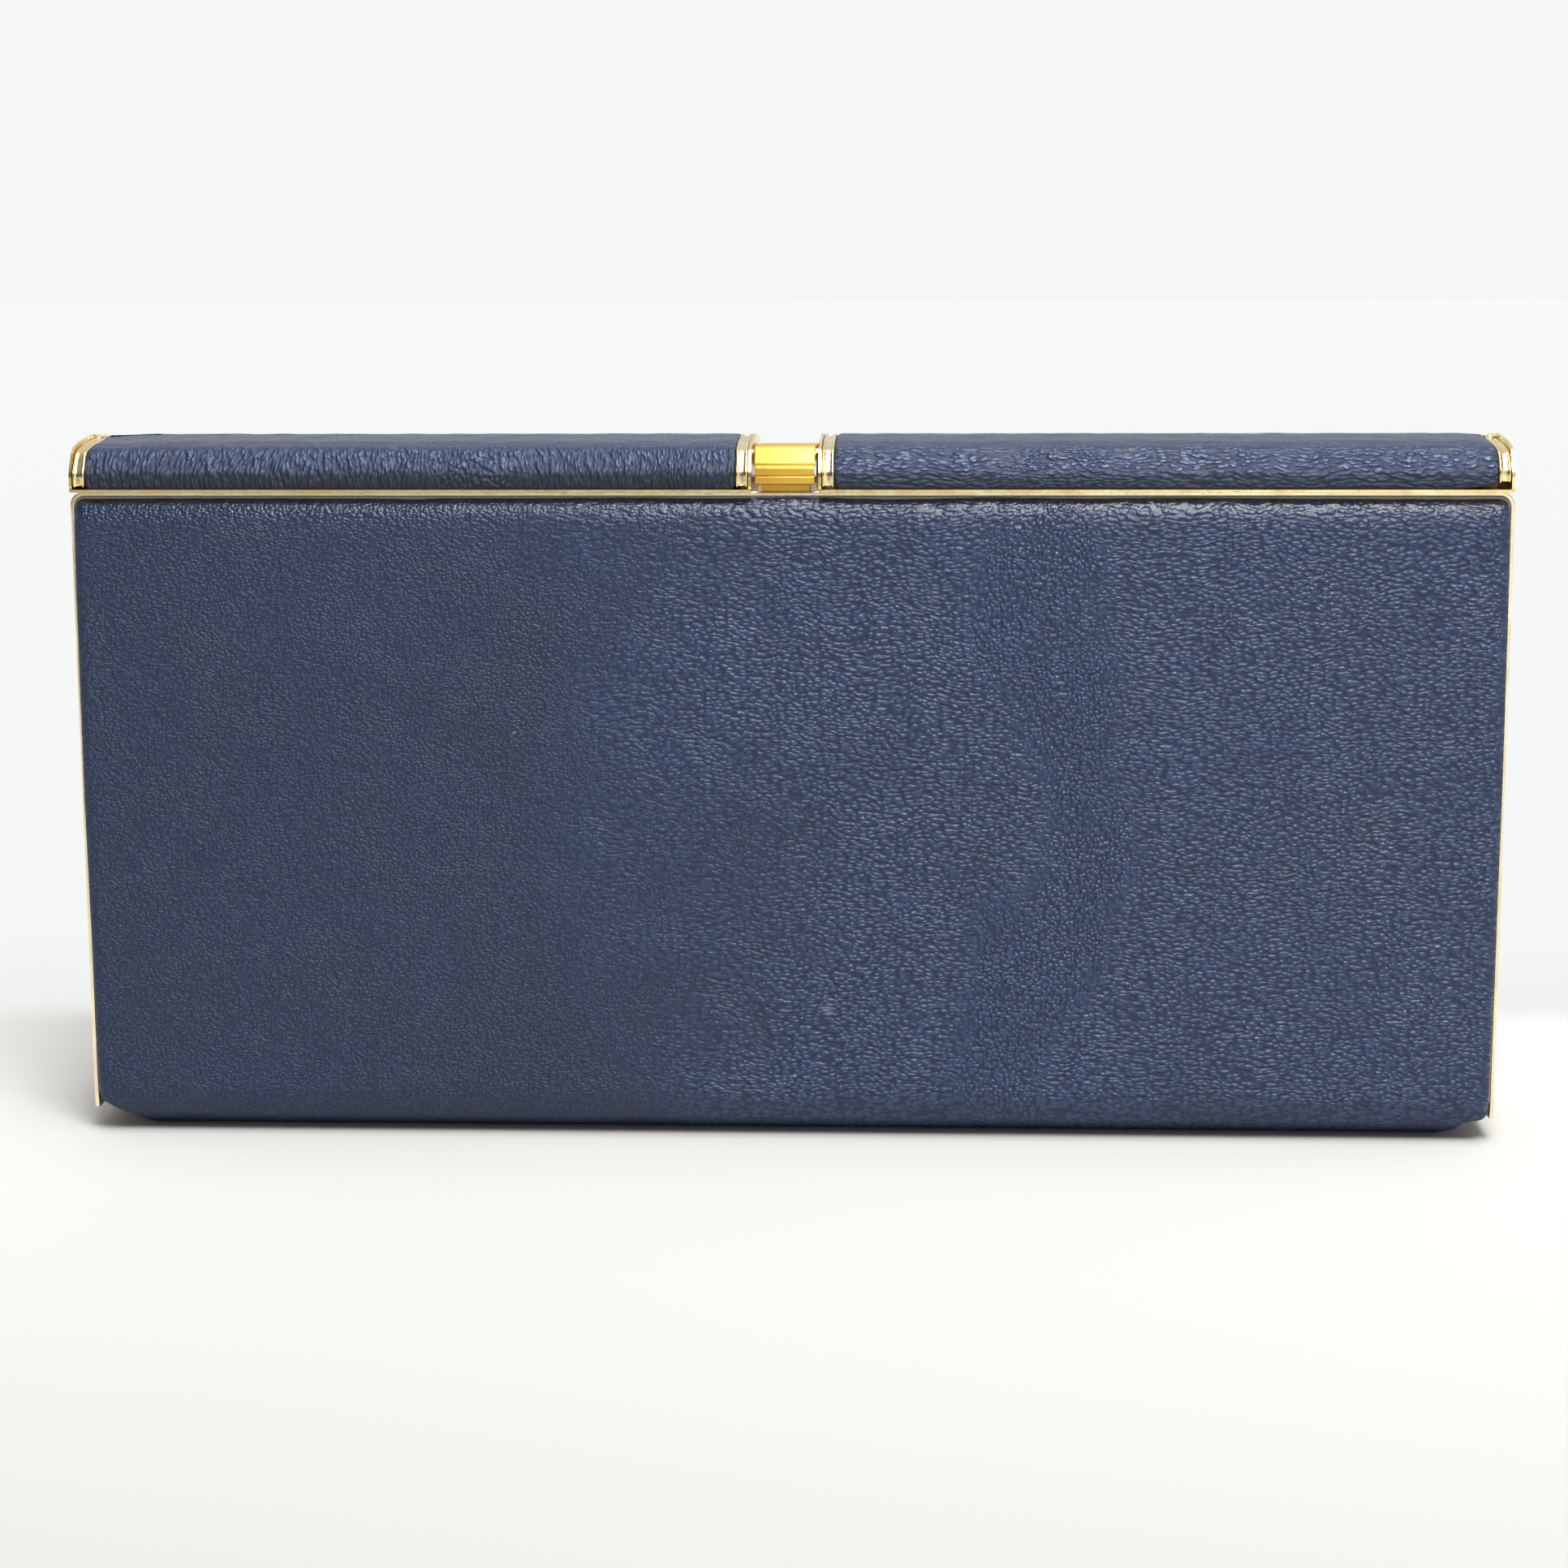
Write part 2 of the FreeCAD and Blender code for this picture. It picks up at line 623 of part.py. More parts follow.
def catch_plate():
    """The upright on the front rim that the plate's lip snaps over."""
    foot, floor, top = "rim_top", "rim_top + bracket_wall", "rim_top + catch_height"
    face, back, heel = "- catch_reach", "- ( catch_reach - catch_wall )", "- ( catch_reach - catch_foot )"
    body = block("catch_plate", "YZ_Plane", "- catch_width / 2", "catch_width", [
        (face, foot), (face, top), (back, top), (back, floor), (heel, floor), (heel, foot)])
    return keep(body, "catch_plate")


# ---- the whole case --------------------------------------------------------------------------

front_rim()
rear_rim()
hinge_pin()
panel_plates()
panel_leather()
spine()
gusset()
bar_parts()
bar_rivets()
latch_plate()
latch_bracket()
latch_pin()
latch_spring()
catch_plate()
doc.recompute()

for item in doc.Objects:
    if "Invalid" in item.State or "Error" in item.State:
        raise RuntimeError("%s did not recompute: %s" % (item.Name, item.State))
for item in nodes:
    if item.Shape.isNull() or not item.Shape.isValid():
        raise RuntimeError("%s has no valid shape" % item.Label)

os.makedirs("parts", exist_ok=True)
for item in nodes:
    item.Shape.exportStep("parts/%s.step" % item.Label)
    print("%-24s %d solid(s) %9.1f mm3" % (item.Label, len(item.Shape.Solids), item.Shape.Volume))
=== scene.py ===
"""Eyeglasses case: leather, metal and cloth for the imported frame, with the floor, the light and the camera."""
import math

import bmesh
import bpy
import numpy as np
from mathutils import Matrix, Vector


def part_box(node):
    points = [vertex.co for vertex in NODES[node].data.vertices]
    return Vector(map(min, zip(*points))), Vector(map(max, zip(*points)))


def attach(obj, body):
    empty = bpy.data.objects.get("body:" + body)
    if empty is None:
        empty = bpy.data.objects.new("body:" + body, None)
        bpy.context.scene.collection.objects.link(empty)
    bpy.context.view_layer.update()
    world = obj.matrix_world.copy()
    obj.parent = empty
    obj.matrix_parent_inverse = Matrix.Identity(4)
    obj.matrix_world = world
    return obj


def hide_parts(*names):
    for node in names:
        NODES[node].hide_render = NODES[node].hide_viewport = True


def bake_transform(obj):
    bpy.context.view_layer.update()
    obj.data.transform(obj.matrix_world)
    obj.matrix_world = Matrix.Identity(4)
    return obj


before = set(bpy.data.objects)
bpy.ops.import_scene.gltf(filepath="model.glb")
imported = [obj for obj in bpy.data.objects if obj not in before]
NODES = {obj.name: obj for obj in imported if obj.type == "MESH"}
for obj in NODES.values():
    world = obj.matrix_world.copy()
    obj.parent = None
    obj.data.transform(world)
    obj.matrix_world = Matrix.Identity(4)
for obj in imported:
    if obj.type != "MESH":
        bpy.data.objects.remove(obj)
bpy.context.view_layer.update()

MM = 0.001
FRONT, REAR, LATCH = "front_half", "rear_half", "latch"


# ---------------------------------------------------------------- shader help


class Graph:
    """A material's or world's nodes, with short calls to add and link them."""

    def __init__(self, tree):
        self.tree = tree

    def node(self, kind, inputs=None, **props):
        made = self.tree.nodes.new("ShaderNode" + kind)
        for key, value in props.items():
            setattr(made, key, value)
        for key, value in (inputs or {}).items():
            socket = made.inputs[key]
            if isinstance(value, bpy.types.NodeSocket):
                self.tree.links.new(value, socket)
            else:
                socket.default_value = value
        return made

    def math(self, operation, a, b=0.0, clamp=False):
        return self.node("Math", {0: a, 1: b}, operation=operation, use_clamp=clamp).outputs[0]

    def vector(self, operation, a, b):
        return self.node("VectorMath", {0: a, 1: b}, operation=operation).outputs[0]

    def millimetres(self):
        """The point in millimetres, in the row frame."""
        return self.vector("MULTIPLY", self.node("TexCoord").outputs["Object"], (1000.0,) * 3)

    def split(self, vector):
        return self.node("SeparateXYZ", {0: vector}).outputs

    def noise(self, vector, scale, detail=2.0, roughness=0.5, colour=False):
        made = self.node(
            "TexNoise",
            {"Vector": vector, "Scale": scale, "Detail": detail, "Roughness": roughness},
        )
        return made.outputs[1 if colour else 0]

    def warped(self, vector, scale, amount):
        """The vector moved about by noise, by up to half of amount."""
        push = self.vector("SUBTRACT", self.noise(vector, scale, 2.0, colour=True), (0.5,) * 3)
        return self.vector("ADD", vector, self.vector("MULTIPLY", push, (amount,) * 3))

    def domes(self, vector, randomness):
        """A field of soft domes: 1 on top of each, 0 in the valleys between them."""
        inputs = {"Vector": vector, "Scale": 1.0, "Randomness": randomness, "Smoothness": 0.25}
        return self.remap(self.node("TexVoronoi", inputs, feature="SMOOTH_F1").outputs["Distance"], 0.82, 0.22)

    def distance(self, vector, point):
        return self.node("VectorMath", {0: vector, 1: point}, operation="DISTANCE").outputs["Value"]

    def remap(self, value, low, high, to_low=0.0, to_high=1.0):
        return self.node(
            "MapRange",
            {0: value, 1: low, 2: high, 3: to_low, 4: to_high},
            interpolation_type="SMOOTHSTEP",
        ).outputs[0]

    def mix(self, factor, a, b):
        return self.node("Mix", {0: factor, 2: a, 3: b}, data_type="FLOAT").outputs[0]

    def blend(self, factor, a, b, mode="MIX"):
        return self.node("Mix", {0: factor, 6: a, 7: b}, data_type="RGBA", blend_type=mode).outputs[2]

    def bump(self, height, depth_mm, strength=1.0, normal=None):
        inputs = {"Height": height, "Distance": depth_mm * MM, "Strength": strength}
        if normal is not None:
            inputs["Normal"] = normal
        return self.node("Bump", inputs).outputs[0]


def new_material(name, **values):
    """A material, its Principled shader with these plain values, and its graph."""
    material = bpy.data.materials.new(name)
    material.use_nodes = True
    graph = Graph(material.node_tree)
    shader = material.node_tree.nodes["Principled BSDF"]
    for key, value in values.items():
        shader.inputs[key.replace("_", " ").title().replace("Ior", "IOR")].default_value = value
    return material, shader, graph


def drive(graph, shader, **sockets):
    for key, socket in sockets.items():
        graph.tree.links.new(socket, shader.inputs[key.replace("_", " ").title()])


# ------------------------------------------------------------------ materials

# painted shade and painted light: the first navy darkens the valleys between pebbles, the second lightens the pebble
# tops
NAVY_PAINTED_VALLEY_SHADE, NAVY_PAINTED_TOP_LIGHT = (0.004, 0.015, 0.052, 1.0), (0.017, 0.040, 0.108, 1.0)
# painted shade for the lower part of the bars
NAVY_PAINTED_SHADE_LOW = (0.002, 0.005, 0.018, 1.0)
CROSSED_AT = 33.0  # how far from the middle the grain crosses itself, mm


def leather_material(name, size, turned, plain, coarse, rubbed, dark=None, scars=False):
    """Navy grained leather with domed pebbles.

    size, turned and plain say how many pebbles there are in a millimetre along each axis: usually, in the bands
    where the grain crosses, and where it lies fine. coarse is the stretch of x over which fine grain turns coarse,
    rubbed the stretch of height over which the grain wears smooth, and dark the one over which painted shade fades.
    """
    material, shader, g = new_material(name, Specular_IOR_Level=0.6)
    p = g.millimetres()
    x, y, z = g.split(p)
    broad = g.noise(p, 0.035, 2.0)
    patch = g.noise(p, 0.07, 1.0)
    bent = g.warped(g.warped(p, 0.12, 2.6), 0.7, 0.5)

    def pebbles(scale):
        """Domed pebbles of uneven height."""
        at = g.vector("MULTIPLY", bent, scale)
        swell = g.remap(g.noise(at, 0.8, 1.0, 0.4), 0.3, 0.65)
        return g.math("ADD", g.math("MULTIPLY", g.domes(at, 0.85), 0.8), g.math("MULTIPLY", swell, 0.25))

    aside = g.math("ABSOLUTE", g.math("ADD", x, g.math("MULTIPLY", g.math("SUBTRACT", broad, 0.5), 40.0)))
    off_band = g.math("ABSOLUTE", g.math("SUBTRACT", aside, CROSSED_AT))
    bold = g.mix(g.remap(off_band, 9.0, 3.0), pebbles(size), pebbles(turned))
    reach = g.remap(g.math("ADD", x, g.math("MULTIPLY", broad, 60.0)), *coarse)
    worn = g.remap(g.noise(p, 0.2, 3.0), 0.3, 0.7, 0.75, 1.0)
    grain = g.mix(reach, g.math("MULTIPLY", pebbles(plain), 0.5), g.math("MULTIPLY", bold, worn))
    smooth = g.remap(z, *rubbed)
    grain = g.math("MULTIPLY", grain, g.math("SUBTRACT", 1.0, g.math("MULTIPLY", smooth, 0.6)))
    pores = g.noise(p, 5.0, 2.0)
    height = g.math("ADD", grain, g.math("MULTIPLY", pores, 0.15))
    wrinkle = g.noise(g.vector("MULTIPLY", g.warped(p, 0.1, 6.0), (0.09, 0.2, 0.3)), 1.0, 3.0)
    normal = g.bump(wrinkle, 0.3, 0.4)
    normal = g.bump(height, 0.3, 1.0, normal)

    # painted shade in the valleys and painted light on the pebble tops, following the grain's height
    colour = g.blend(g.remap(g.math("ADD", grain, g.math("MULTIPLY", pores, 0.4)), 0.35, 1.05), NAVY_PAINTED_VALLEY_SHADE, NAVY_PAINTED_TOP_LIGHT)
    tone = g.math("ADD", 0.86, g.math("MULTIPLY", broad, 0.28))
    colour = g.blend(1.0, colour, g.node("CombineColor", {0: tone, 1: tone, 2: tone}).outputs[0], "MULTIPLY")
    if dark:  # painted shade: the colour is darker low down, and the surface duller
        colour = g.blend(g.remap(z, *dark), NAVY_PAINTED_SHADE_LOW, colour)
    if scars:  # a pale rub and a few bright specks where the surface has been knocked
        rub = g.math("SUBTRACT", 1.0, g.remap(g.distance(p, (5.3, -12.5, 17.0)), 0.3, 1.1))
        colour = g.blend(g.math("MULTIPLY", rub, 0.3), colour, (0.2, 0.23, 0.3, 1.0))
        for spot in ((-34.0, -12.5, 52.3), (1.0, -12.4, 8.4), (77.6, -12.4, 17.4)):
            near = g.math("SUBTRACT", 1.0, g.remap(g.distance(p, spot), 0.08, 0.2))
            colour = g.blend(g.math("MULTIPLY", near, 0.6), colour, (0.5, 0.51, 0.53, 1.0))
    rough = g.mix(g.remap(grain, 0.1, 1.0), 0.62, 0.3)
    rough = g.math("ADD", rough, g.math("MULTIPLY", g.math("SUBTRACT", patch, 0.5), 0.2))
    rough = g.mix(smooth, rough, 0.3)
    if dark:
        rough = g.mix(g.remap(z, *dark), 0.7, rough)
    drive(g, shader, base_color=colour, roughness=rough, normal=normal)
    return material


def metal_material(name, bright, dark, rough, wear, brushed=(0.25, 3.0, 3.0)):
    """Plated metal with fine brushing, small knocks and darker worn spots."""
    material, shader, g = new_material(name, Metallic=1.0, Specular_IOR_Level=0.5)
    p = g.millimetres()
    tone = g.noise(p, 0.22, 4.0, 0.6)
    brush = g.noise(g.vector("MULTIPLY", p, brushed), 2.2, 3.0)
    pits = g.remap(g.noise(g.warped(p, 0.8, 0.8), 1.7, 3.0, 0.62), 0.7, 0.62)
    worn = g.remap(g.noise(p, 0.13, 3.0, 0.6), 0.42, 0.72, 0.0, wear)
    spots = g.math("MULTIPLY", g.math("SUBTRACT", 1.0, pits), worn)
    colour = g.blend(g.remap(tone, 0.35, 0.7), bright, dark)
    colour = g.blend(spots, colour, (0.09, 0.06, 0.035, 1.0))
    roughness = g.math("ADD", rough, g.math("MULTIPLY", g.math("SUBTRACT", tone, 0.45), 0.3))
    roughness = g.math("ADD", roughness, g.math("MULTIPLY", spots, 0.35), True)
    normal = g.bump(brush, 0.012, 0.35)
    normal = g.bump(g.noise(p, 0.7, 2.0), 0.1, 0.35, normal)
    normal = g.bump(g.math("SUBTRACT", 1.0, spots), 0.03, 0.6, normal)
    drive(g, shader, base_color=colour, roughness=roughness, normal=normal)
    return material


def cloth_material(name, deep, light, weave, sheen):
    """Brushed cloth: a fine weave under a soft nap that shades in patches."""
    material, shader, g = new_material(
        name, Roughness=0.9, Specular_IOR_Level=0.2, Sheen_Weight=sheen, Sheen_Roughness=0.45
    )
    p = g.millimetres()
    x, y, z = g.split(g.warped(p, 0.5, 0.25))
    warp = g.math("SINE", g.math("MULTIPLY", g.math("ADD", x, g.math("MULTIPLY", y, 0.3)), weave))
    weft = g.math("SINE", g.math("MULTIPLY", g.math("ADD", z, y), weave))
    threads = g.math("MULTIPLY", g.math("ADD", g.math("MULTIPLY", warp, weft), 1.0), 0.5)
    nap = g.noise(p, 0.12, 4.0, 0.6)
    fuzz = g.noise(p, 6.0, 3.0, 0.7)
    shade = g.math("ADD", g.math("MULTIPLY", threads, 0.35), g.math("MULTIPLY", nap, 0.65))
    colour = g.blend(g.remap(shade, 0.2, 0.8), deep, light)
    height = g.math("ADD", threads, g.math("MULTIPLY", fuzz, 0.7))
    drive(g, shader, base_color=colour, normal=g.bump(height, 0.05, 0.8))
    return material


def board_material(name, deep, light):
    """Grey board or foam with specks and a fibrous bump."""
    material, shader, g = new_material(name, Roughness=0.85, Specular_IOR_Level=0.25)
    p = g.millimetres()
    fibre = g.noise(g.vector("MULTIPLY", p, (0.5, 2.0, 2.0)), 1.6, 4.0, 0.7)
    drive(g, shader, base_color=g.blend(fibre, deep, light), normal=g.bump(fibre, 0.06, 0.7))
    return material


def floor_material():
    """A pale, warm, matt sweep. Behind the case it turns into an evenly lit backdrop, with a faint shade at the turn.
    Well in front of the case and far out at its sides it glows too, as a white room would."""
    material, shader, g = new_material("studio_floor", Roughness=0.75, Specular_IOR_Level=0.2)
    p = g.millimetres()
    x, y, z = g.split(p)
    back = g.remap(y, 44.0, 62.0)
    cloud = g.noise(p, 0.004, 2.0)
    warm = g.blend(cloud, (0.43, 0.42, 0.392, 1.0), (0.45, 0.438, 0.41, 1.0))
    turn = g.math("MULTIPLY", g.remap(y, 44.0, 54.0), g.remap(y, 110.0, 60.0))
    glow = g.blend(g.math("MULTIPLY", turn, 0.1), (0.880, 0.897, 0.889, 1.0), (0.45, 0.45, 0.42, 1.0))
    warm = g.blend(g.remap(y, -220.0, 45.0), warm, (0.68, 0.67, 0.635, 1.0))
    drive(g, shader, base_color=g.blend(back, warm, (0.0, 0.0, 0.0, 1.0)))
    front = g.math("MULTIPLY", g.remap(y, -320.0, -480.0), g.remap(x, -130.0, 170.0, 0.1, 0.9))
    side = g.remap(g.math("ABSOLUTE", x), 250.0, 700.0, 0.0, 0.75)
    spread = g.math("MAXIMUM", g.math("MAXIMUM", front, side), back)
    drive(g, shader, emission_color=glow, emission_strength=spread)
    return material


PANEL_LEATHER = leather_material(
    "panel_leather", size=(1.08, 0.6, 2.15), turned=(1.7, 0.6, 1.95), plain=(2.1, 0.9, 2.9),
    coarse=(-10.0, 35.0), rubbed=(77.0, 80.8), scars=True,
)
LEFT_LEATHER = leather_material(
    "bar_leather_upright", size=(2.0, 0.9, 0.75), turned=(1.8, 1.3, 1.3), plain=(2.0, 2.0, 2.0),
    coarse=(-300.0, -200.0), rubbed=(86.6, 88.4), dark=(83.0, 87.0),
)
RIGHT_LEATHER = leather_material(
    "bar_leather_level", size=(0.75, 1.7, 2.2), turned=(1.1, 1.8, 2.4), plain=(2.0, 2.0, 2.0),
    coarse=(-300.0, -200.0), rubbed=(86.6, 88.4), dark=(82.5, 86.0),
)
RIM_GOLD = metal_material("rim_gold", (1.0, 0.90, 0.66, 1.0), (0.90, 0.75, 0.49, 1.0), 0.22, 0.3)
TRAY_GOLD = metal_material("tray_gold", (1.0, 0.83, 0.44, 1.0), (0.90, 0.66, 0.30, 1.0), 0.2, 0.35)
CAP_GOLD = metal_material("cap_gold", (1.0, 0.84, 0.44, 1.0), (0.85, 0.64, 0.30, 1.0), 0.18, 0.3)
LATCH_GOLD = metal_material("latch_gold", (0.8, 0.5, 0.09, 1.0), (0.74, 0.42, 0.07, 1.0), 0.5, 0.25)
PIN_GOLD = metal_material("pin_gold", (0.94, 0.78, 0.46, 1.0), (0.70, 0.52, 0.28, 1.0), 0.25, 0.5)
STEEL = metal_material("spring_steel", (0.62, 0.61, 0.59, 1.0), (0.40, 0.39, 0.38, 1.0), 0.3, 0.3)
LINING = cloth_material("lining_cloth", (0.30, 0.23, 0.16, 1.0), (0.46, 0.37, 0.27, 1.0), 9.0, 0.5)
GUSSET = cloth_material("gusset_cloth", (0.014, 0.022, 0.05, 1.0), (0.03, 0.045, 0.09, 1.0), 12.0, 0.3)
FOAM = board_material("padding_foam", (0.30, 0.30, 0.31, 1.0), (0.45, 0.45, 0.46, 1.0))
BOARD = board_material("grey_board", (0.22, 0.21, 0.20, 1.0), (0.36, 0.34, 0.32, 1.0))
CORE = board_material("bar_core", (0.14, 0.14, 0.14, 1.0), (0.22, 0.22, 0.22, 1.0))


# -------------------------------------------------------------- geometry help


def smoothstep(value, low, high):
    t = np.clip((value - low) / (high - low), 0.0, 1.0)
    return t * t * (3.0 - 2.0 * t)


def ripple(a, b, pitch, seed):
    """A smooth, seeded, wavy field over two coordinates, between about -1 and 1."""
    rng = np.random.default_rng(seed)
    total = np.zeros(np.broadcast(a, b).shape)
    for _ in range(9):
        turn, phase = rng.uniform(0.0, 2.0 * math.pi, 2)
        size = 2.0 * math.pi / (pitch * rng.uniform(0.6, 1.8))
        total = total + np.sin(size * (a * math.cos(turn) + b * math.sin(turn)) + phase)
    return total / 4.5


def add_mesh(name, points, faces, material, outward=True):
    """A smooth-shaded object from points in millimetres."""
    mesh = bpy.data.meshes.new(name)
    mesh.from_pydata((np.asarray(points, float) * MM).tolist(), [], faces)
    if outward:
        work = bmesh.new()
        work.from_mesh(mesh)
        bmesh.ops.recalc_face_normals(work, faces=work.faces)
        work.to_mesh(mesh)
        work.free()
    mesh.polygons.foreach_set("use_smooth", [True] * len(mesh.polygons))
    mesh.materials.append(material)
    mesh.update()
    made = bpy.data.objects.new(name, mesh)
    bpy.context.scene.collection.objects.link(made)
    return made


def grid_faces(rows, columns, start=0):
    corners = [start + i * columns + j for i in range(rows - 1) for j in range(columns - 1)]
    return [(k, k + columns, k + columns + 1, k + 1) for k in corners]


def closed_faces(rows, columns):
    """The faces of two grids, one after the other, with a strip that joins their edges."""
    count = rows * columns
    faces = grid_faces(rows, columns) + [f[::-1] for f in grid_faces(rows, columns, count)]
    index = np.arange(count).reshape(rows, columns)
    edge = np.r_[index[0], index[1:, -1], index[-1, -2::-1], index[-2:0:-1, 0]]
    return faces + [(int(a), int(b), int(b) + count, int(a) + count) for a, b in zip(edge, np.roll(edge, -1))]


def fillet(corners, steps=6):
    """An open run of straight lines whose corners (a, b, radius) are rounded."""
    out = [np.array(corners[0][:2], float)]
    for before, here, after in zip(corners, corners[1:], corners[2:]):
        at = np.array(here[:2], float)
        u = np.array(before[:2]) - at
        v = np.array(after[:2]) - at
        lu, lv = np.linalg.norm(u), np.linalg.norm(v)
        u, v = u / lu, v / lv
        half = math.acos(np.clip(u @ v, -1.0, 1.0)) / 2.0
        cut = min(here[2] / math.tan(half), 0.48 * lu, 0.48 * lv)
        radius = cut * math.tan(half)
        bisector = (u + v) / np.linalg.norm(u + v)
        middle = at + bisector * radius / math.sin(half)
        first, last = at + u * cut - middle, at + v * cut - middle
        sweep = math.acos(np.clip(first @ last / radius**2, -1.0, 1.0))
        for k in range(steps + 1):
            f = k / steps
            turned = (math.sin((1 - f) * sweep) * first + math.sin(f * sweep) * last) / math.sin(sweep)
            out.append(middle + turned)
    out.append(np.array(corners[-1][:2], float))
    return np.array(out)


def resample(path, step):
    """The path at an even spacing."""
    along = np.r_[0.0, np.cumsum(np.linalg.norm(np.diff(path, axis=0), axis=1))]
    at = np.linspace(0.0, along[-1], max(2, int(round(along[-1] / step)) + 1))
    return np.column_stack([np.interp(at, along, path[:, k]) for k in range(2)])


def frames(path):
    """The unit tangent and the normal to its left at each point of a plane path."""
    tangent = np.gradient(path, axis=0)
    tangent /= np.linalg.norm(tangent, axis=1)[:, None]
    return tangent, np.column_stack([tangent[:, 1], -tangent[:, 0]])


def shell(name, grid, thickness, material):
    """A closed thin shell on a grid of points, with a rim."""
    rows, columns = grid.shape[:2]
    normal = np.cross(np.gradient(grid, axis=0), np.gradient(grid, axis=1))
    normal /= np.linalg.norm(normal, axis=2)[:, :, None]
    top = (grid + normal * thickness / 2).reshape(-1, 3)
    under = (grid - normal * thickness / 2).reshape(-1, 3)
    return add_mesh(name, np.vstack([top, under]), closed_faces(rows, columns), material)


# ------------------------------------------------------------ the leather wrap

LIP = 1.5  # corner radius of the panels, and how far the rolled edge starts from the outline
TOP_SLOPE = math.radians(27.0)  # how far the panels lean back where the roll of the top edge starts
TOP_START, TOP_REACH = 78.3, 1.9  # where the panels start to slope off, and over how much height
ROLL_STEPS = 7
# marks on the front panel, a shallow slanting dent and a faint crease: two ends, how wide, how deep
DENTS = (((-48.7, 55.0), (-36.8, 47.0), 3.2, 0.14), ((-23.8, 60.8), (-16.8, 57.8), 1.2, 0.05))


def half_width(y, z, side):
    """Half the wrap's width at a point of its profile. The bottom corners are cut in steps round the hinge."""
    if side < 0:
        table = ((0.2, 84.2), (1.0, 84.6), (1.7, 85.0), (2.3, 86.3), (3.3, 87.7), (3.9, 88.5),
                 (7.0, 88.65), (26.0, 88.85), (43.0, 89.0), (70.0, 88.95), (81.5, 88.85))
    else:
        table = ((0.2, 84.6), (0.8, 85.7), (1.7, 86.2), (2.4, 86.8), (2.8, 88.6), (3.9, 88.65),
                 (7.0, 88.65), (26.0, 88.85), (43.0, 89.0), (70.0, 88.95), (81.5, 88.85))
    heights, widths = zip(*table)
    return float(np.interp(z, heights, widths))


